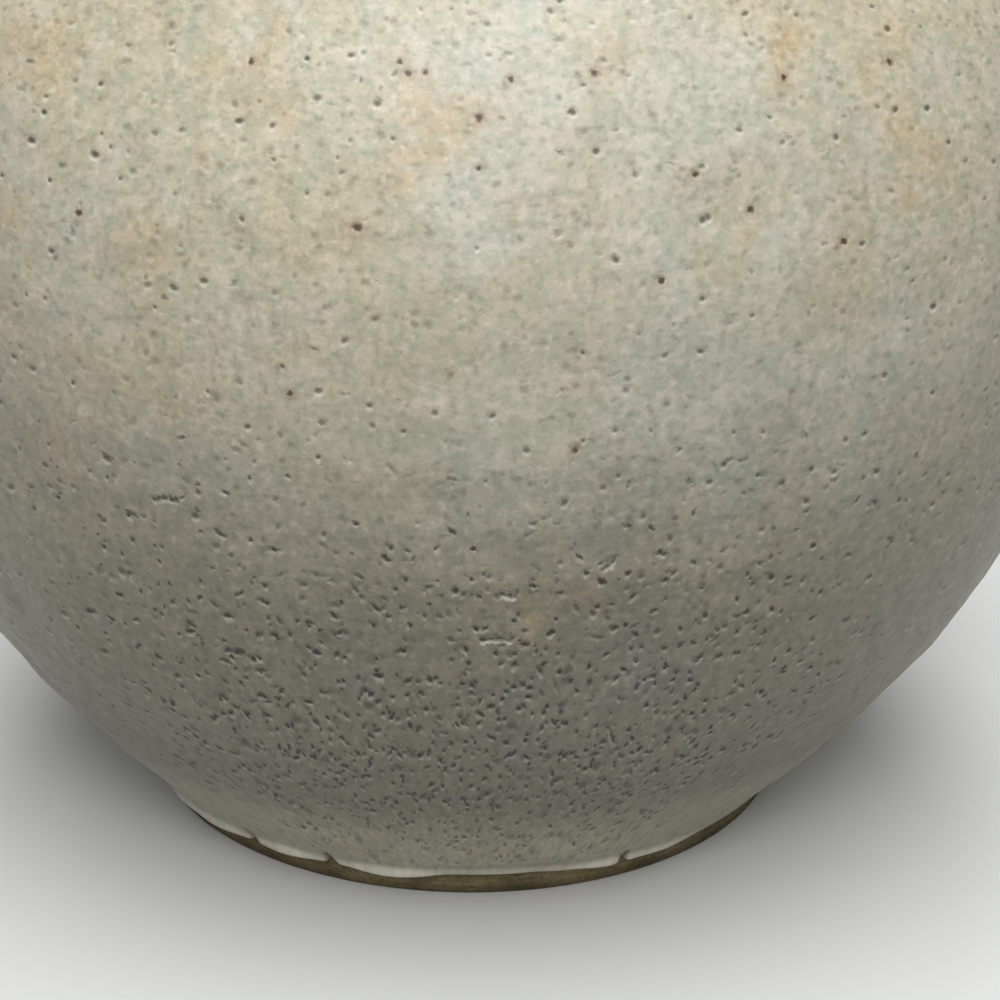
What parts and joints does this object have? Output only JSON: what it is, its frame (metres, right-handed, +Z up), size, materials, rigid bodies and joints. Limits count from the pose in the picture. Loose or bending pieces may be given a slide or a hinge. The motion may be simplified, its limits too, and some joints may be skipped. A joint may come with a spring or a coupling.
{
  "type": "bud vase",
  "caption": "Small round-bellied stoneware vase with a narrow flared neck, speckled cream glaze and a bare foot ring, for a single stem or a few buds.",
  "frame": {"origin": "on the vase's axis, in the plane that the foot ring stands on", "axes": "+Z up along the axis of the thrown form, -Y towards the pictured side"},
  "size_m": [0.0808, 0.0808, 0.112],
  "materials": {
    "bare_clay": "unglazed, olive-brown toasted stoneware",
    "clay_body": "fired stoneware under the glaze",
    "speckled_glaze": "satin cream glaze with iron specks and pinholes",
    "liner_glaze": "smooth satin liner glaze"
  },
  "bodies": {
    "root": {"foot_ring": "bare_clay", "lower_body": "clay_body", "upper_body": "clay_body", "neck": "clay_body", "outer_glaze": "speckled_glaze", "inner_glaze": "liner_glaze"}
  },
  "joints": []
}
